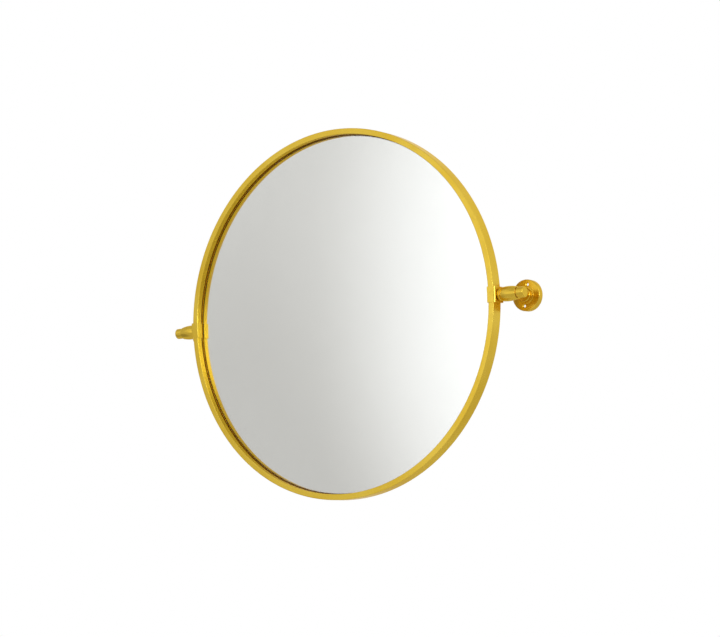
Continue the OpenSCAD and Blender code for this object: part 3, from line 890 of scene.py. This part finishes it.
def barrel_piece(s, name, side):
    """Barrel with its bore for the bush, its pocket for the nut and its spigot for the end cap."""
    start, end = BARREL_START, BARREL_START + BARREL_LENGTH
    spigot, bore = s["spigot_radius"], s["bush_radius"] + PLAY
    pocket, floor = spigot - SPIGOT_WALL, end - POCKET_DEPTH
    tip = end + s["groove"] + SPIGOT_LENGTH
    bm = turned(
        [(bore, start, 0.2)] + barrel_outline(s)
        + [(spigot, end), (spigot, tip), (pocket, tip), (pocket, floor), (bore, floor)],
        steps=128,
    )
    piece = solid("barrel_body_" + name, moved(bm, on_pivot(side)))
    return finished(piece, "pivot_gold", BRACKET_BODY, ["barrel_" + name])


def cap_piece(s, name, side):
    """Hollow end cap over the nut."""
    start = BARREL_START + BARREL_LENGTH + s["groove"]
    shoulder, roof = start + SPIGOT_LENGTH, CAP_END - CAP_ROOF
    socket = CAP_RADIUS - CAP_WALL
    hollow = socket - CAP_SHOULDER
    bm = turned([
        (0.0, CAP_END), (CAP_RADIUS, CAP_END, s["cap_edge"]), (CAP_RADIUS, start, 0.3), (socket, start),
        (socket, shoulder), (hollow, shoulder), (hollow, roof), (0.0, roof),
    ], closed=False)
    piece = solid("cap_" + name, moved(bm, on_pivot(side)))
    return finished(piece, "pivot_gold", BRACKET_BODY, ["end_cap_" + name])


def post_piece(s, name, side):
    """Post, coped to the side of the barrel."""
    foot, tip = s["plate_height"] - SEAT_DEPTH + PLAY, -PIVOT_Y
    bore, radius = POST_SCREW + PLAY, s["post_radius"]
    bm = turned([(bore, foot), (radius, foot, 0.2), (radius, tip), (bore, tip)])
    piece = solid("post_body_" + name, moved(bm, on_wall(side)))
    cope = turned(
        [(0.0, BARREL_START)] + barrel_outline(s, COPE_GAP) + [(0.0, BARREL_START + BARREL_LENGTH)],
        steps=128, closed=False)
    cut(piece, moved(cope, on_pivot(side)))
    return finished(piece, "wall_gold", BRACKET_BODY, ["post_" + name])


def plate_piece(s, name, side):
    """Hollow wall plate with a hub, a flare, a bead and two countersunk holes."""
    top, inside = s["plate_height"], s["plate_height"] - s["plate_face"]
    rise, floor = top + s["hub_height"], top - SEAT_DEPTH
    bore, seat = POST_SCREW + PLAY, s["post_radius"] + PLAY
    hub, boss, skirt = seat + s["hub_wall"], seat + s["boss_wall"], PLATE_RADIUS - s["plate_skirt"]
    foot = hub + s["flare"]
    flare = arc_corners(foot, top + s["flare"], s["flare"], top + 1e-4, top + s["flare"] - 1e-4, 10)
    bead = arc_corners(foot, top, s["bead"], top, top + s["bead"] * 0.999, 8)
    corners = [
        (bore, 0.0), (boss, 0.0, 0.3), (boss, inside, 0.8), (skirt, inside, 1.0), (skirt, 0.0, 0.2),
        (PLATE_RADIUS, 0.0, 0.2), (PLATE_RADIUS, top, s["plate_edge"]),
    ]
    corners += bead
    corners += [(2 * foot - r, z) for r, z in flare[:-1] if z > top + s["bead"] * 0.95]
    corners += [
        (hub, top + s["flare"]), (hub, rise, s["hub_edge"]), (seat, rise, 0.1), (seat, floor), (bore, floor),
    ]
    piece = solid("plate_" + name, moved(turned(corners, steps=128), on_wall(side)))
    radius, sink = s["hole_radius"], s["hole_sink"]
    low, high = inside - 2, top + 4  # past both sides of the plate's face
    holes = []
    for end in (-1, 1):
        mouth = radius + sink + CONE_PAST
        hole = turned([
            (0.0, low), (radius, low), (radius, top - sink), (mouth, top + CONE_PAST), (mouth, high),
            (0.0, high),
        ], steps=48, closed=False)
        shift(hole, 0, end * s["hole_pitch"] / 2, 0)
        turn(hole, -s["hole_turn"])
        holes.append(moved(hole, on_wall(side)))
    cut(piece, *holes)
    return finished(piece, "wall_gold", BRACKET_BODY, ["wall_plate_" + name], 30.0)


def post_screw_piece(s, name, side):
    """Countersunk screw from the back of the plate into the post."""
    shank, head, tip = POST_SCREW, POST_SCREW_HEAD, POST_SCREW_LENGTH
    bm = turned([
        (0.0, PLAY), (head, PLAY, 0.1), (shank, PLAY + head - shank), (shank, tip, 0.4), (0.0, tip),
    ], steps=64, closed=False)
    piece = solid("post_screw_body_" + name, moved(bm, on_wall(side)))
    if s["show_recesses"]:
        cut(piece, moved(hex_prism(POST_KEY, -1.0, POST_KEY_DEPTH), on_wall(side)))
    return finished(piece, "zinc_plate", BRACKET_BODY, ["post_screw_" + name])


# ---- Stage ----

CAMERA_PLACE = Vector((2.2776, -3.1731, -0.4598))
CAMERA_RIGHT = Vector((0.80942, 0.58609, -0.03665))
CAMERA_UP = Vector((0.09751, -0.07259, 0.99259))
CAMERA_LENS = 118.53
CAMERA_SHIFT = (-0.0007, 0.00014)
SENSOR = 36.0
FLOOR_Z = -0.95
FLOOR_FADE = (0.45, 1.15)
# Light of the studio around the mirror: its even level, then its soft panels as azimuth, elevation, outer and
# inner half angle in degrees, and gain. Azimuth 0 is -Y and 90 is +X.
STUDIO_LEVEL = 0.62
PANELS = (
    (-15.5, 6, 21.5, 16.5, 0.40),
    (-31, 7.5, 7.5, 0, 0.19),
    (44.5, 27, 15.5, 13, 0.32),
    (57, 5, 9, 6, 5.5),
    (66, 20, 38, 16, 1.0),
    (-38, 34, 12, 9.5, 0.28),
    (-41, 20, 15, 2, 0.17),
    (-95, 44, 8, 0, -0.20),
    (-68, -26, 27, 10, -0.27),
)
# Directions in which metal and glass show the backdrop behind the mirror, and how much of it.
BEHIND = (180, 22, 53, 37, 0.61)


def studio_light():
    """World: a white backdrop, and a pale studio in front of it that lights the mirror."""
    world = bpy.data.worlds.new("studio")
    world.use_nodes = True
    bench = Bench(world.node_tree)
    direction = bench.node("ShaderNodeTexCoord", out=0)

    def lobe(azimuth, elevation, edge, core, gain):
        """Soft disc in one direction, from its gain inside the core to nothing at its edge."""
        a, e = math.radians(azimuth), math.radians(elevation)
        towards = (math.sin(a) * math.cos(e), -math.cos(a) * math.cos(e), math.sin(e))
        facing = bench.node("ShaderNodeVectorMath", {"operation": "DOT_PRODUCT"}, direction, towards, out=1)
        return bench.range(facing, math.cos(math.radians(edge)), math.cos(math.radians(core)), 0.0, gain)

    level = STUDIO_LEVEL
    for panel in PANELS:
        level = level + lobe(*panel)
    tone = bench.node(
        "ShaderNodeCombineColor", None, level, level * (0.965 + 0.035 * level), level * (0.91 + 0.09 * level))
    path = world.node_tree.nodes.new("ShaderNodeLightPath")
    kinds = ("Is Camera Ray", "Is Glossy Ray", "Is Transmission Ray")
    seen, glossy, through = (Signal(bench, path.outputs[kind]) for kind in kinds)
    backdrop_share = seen.at_least(glossy.at_least(through) * lobe(*BEHIND))
    studio = bench.node("ShaderNodeBackground", None, tone, 1.0)
    backdrop = bench.node("ShaderNodeBackground", None, tuple(colours().backdrop), 1.0)
    shown = bench.node("ShaderNodeMixShader", None, backdrop_share, studio, backdrop)
    bench.node("ShaderNodeOutputWorld", None, shown)
    bpy.context.scene.world = world


def floor_piece():
    """Pale floor that fades into the backdrop and keeps the mirror's shadow."""
    bm = bmesh.new()
    bmesh.ops.create_circle(bm, cap_ends=True, segments=96, radius=FLOOR_FADE[1] + 0.05)
    shift(bm, 0, 0, FLOOR_Z)
    mesh = bpy.data.meshes.new("floor")
    bm.to_mesh(mesh)
    bm.free()
    floor = bpy.data.objects.new("floor", mesh)
    bpy.context.scene.collection.objects.link(floor)
    made, bench = material("floor_paint")
    x, y, z = bench.split(bench.object_place())
    radius = (x * x + y * y).sqrt()
    fade = bench.range(radius, *FLOOR_FADE, 0.0, 1.0)
    grain = bench.noise(bench.object_place(), 60.0, 3.0, 0.6)
    paint = tuple(colours().floor)
    tone = bench.blend(grain, tuple(c * 0.99 for c in paint), paint)
    shader = bench.node("ShaderNodeBsdfPrincipled", None, Base_Color=tone, Roughness=0.8)
    clear = bench.node("ShaderNodeBsdfTransparent")
    mixed = bench.node("ShaderNodeMixShader", None, fade, shader, clear)
    bench.node("ShaderNodeOutputMaterial", None, mixed)
    mesh.materials.append(made)


def camera_piece():
    data = bpy.data.cameras.new("camera")
    data.lens = CAMERA_LENS
    data.sensor_width = SENSOR
    data.sensor_fit = "HORIZONTAL"
    data.shift_x, data.shift_y = CAMERA_SHIFT
    data.clip_start, data.clip_end = 0.05, 60.0
    made = bpy.data.objects.new("camera", data)
    back = CAMERA_RIGHT.cross(CAMERA_UP)
    axes = Matrix((CAMERA_RIGHT, CAMERA_UP, back)).transposed()
    made.matrix_world = Matrix.Translation(CAMERA_PLACE) @ axes.to_4x4()
    bpy.context.scene.collection.objects.link(made)
    bpy.context.scene.camera = made


# ---- Operators ----

class MIRROR_OT_rim(bpy.types.Operator):
    """Build the rolled rim and its welded tabs"""
    bl_idname = "mirror.rim"
    bl_label = "Rim and Tabs"

    def execute(self, context):
        rim_piece(sizes())
        tab_piece(sizes())
        return {"FINISHED"}


class MIRROR_OT_glass(bpy.types.Operator):
    """Build the glass pane and its silvering"""
    bl_idname = "mirror.glass"
    bl_label = "Glass"

    def execute(self, context):
        glass_pieces(sizes())
        return {"FINISHED"}


class MIRROR_OT_backing(bpy.types.Operator):
    """Finish the board and the tape, and build the board screws"""
    bl_idname = "mirror.backing"
    bl_label = "Backing"

    def execute(self, context):
        dress("backing_board", "fibreboard")
        dress("bonding_tape", "foam_tape")
        board_screw_piece(sizes())
        return {"FINISHED"}


class MIRROR_OT_saddles(bpy.types.Operator):
    """Build the saddles, and finish their straps and screws"""
    bl_idname = "mirror.saddles"
    bl_label = "Saddles"

    def execute(self, context):
        for name, side in SIDES:
            saddle_piece(sizes(), name, side)
            strap_screw_piece(sizes(), name, side)
            dress("saddle_strap_" + name, "rim_gold")
        return {"FINISHED"}


class MIRROR_OT_pivots(bpy.types.Operator):
    """Finish the bolts, bushes, washers, springs and nuts inside the barrels"""
    bl_idname = "mirror.pivots"
    bl_label = "Pivot Hardware"

    def execute(self, context):
        for name, _ in SIDES:
            for node in ("pivot_bolt_", "flat_washer_", "disc_spring_", "lock_nut_"):
                dress(node + name, "zinc_plate")
            dress("pivot_bush_" + name, "nylon")
        return {"FINISHED"}


class MIRROR_OT_barrels(bpy.types.Operator):
    """Build the barrels and their end caps"""
    bl_idname = "mirror.barrels"
    bl_label = "Barrels and End Caps"

    def execute(self, context):
        for name, side in SIDES:
            barrel_piece(sizes(), name, side)
            cap_piece(sizes(), name, side)
        return {"FINISHED"}


class MIRROR_OT_posts(bpy.types.Operator):
    """Build the posts, the wall plates and their screws"""
    bl_idname = "mirror.posts"
    bl_label = "Posts and Wall Plates"

    def execute(self, context):
        for name, side in SIDES:
            post_piece(sizes(), name, side)
            plate_piece(sizes(), name, side)
            post_screw_piece(sizes(), name, side)
        return {"FINISHED"}


class MIRROR_OT_stage(bpy.types.Operator):
    """Set the floor, the studio light and the camera"""
    bl_idname = "mirror.stage"
    bl_label = "Stage"

    def execute(self, context):
        studio_light()
        floor_piece()
        camera_piece()
        context.scene.view_settings.view_transform = "Standard"
        return {"FINISHED"}


STEPS = (
    MIRROR_OT_rim, MIRROR_OT_glass, MIRROR_OT_backing, MIRROR_OT_saddles, MIRROR_OT_pivots,
    MIRROR_OT_barrels, MIRROR_OT_posts, MIRROR_OT_stage,
)


class MIRROR_PT_steps(bpy.types.Panel):
    bl_label = "Pivot Wall Mirror"
    bl_idname = "MIRROR_PT_steps"
    bl_space_type = "VIEW_3D"
    bl_region_type = "UI"
    bl_category = "Mirror"

    def draw(self, context):
        column = self.layout.column(align=True)
        for step in STEPS:
            column.operator(step.bl_idname)
        for group in (context.scene.mirror_sizes, context.scene.mirror_colours):
            box = self.layout.box()
            for key in type(group).__annotations__:
                box.prop(group, key)


CLASSES = (MirrorSizes, MirrorColours) + STEPS + (MIRROR_PT_steps,)


def register():
    for one in CLASSES:
        bpy.utils.register_class(one)
    bpy.types.Scene.mirror_sizes = PointerProperty(type=MirrorSizes)
    bpy.types.Scene.mirror_colours = PointerProperty(type=MirrorColours)


def unregister():
    del bpy.types.Scene.mirror_colours
    del bpy.types.Scene.mirror_sizes
    for one in reversed(CLASSES):
        bpy.utils.unregister_class(one)


def main():
    register()
    for step in STEPS:
        group, name = step.bl_idname.split(".")
        getattr(getattr(bpy.ops, group), name)()


if __name__ == "__main__":
    main()
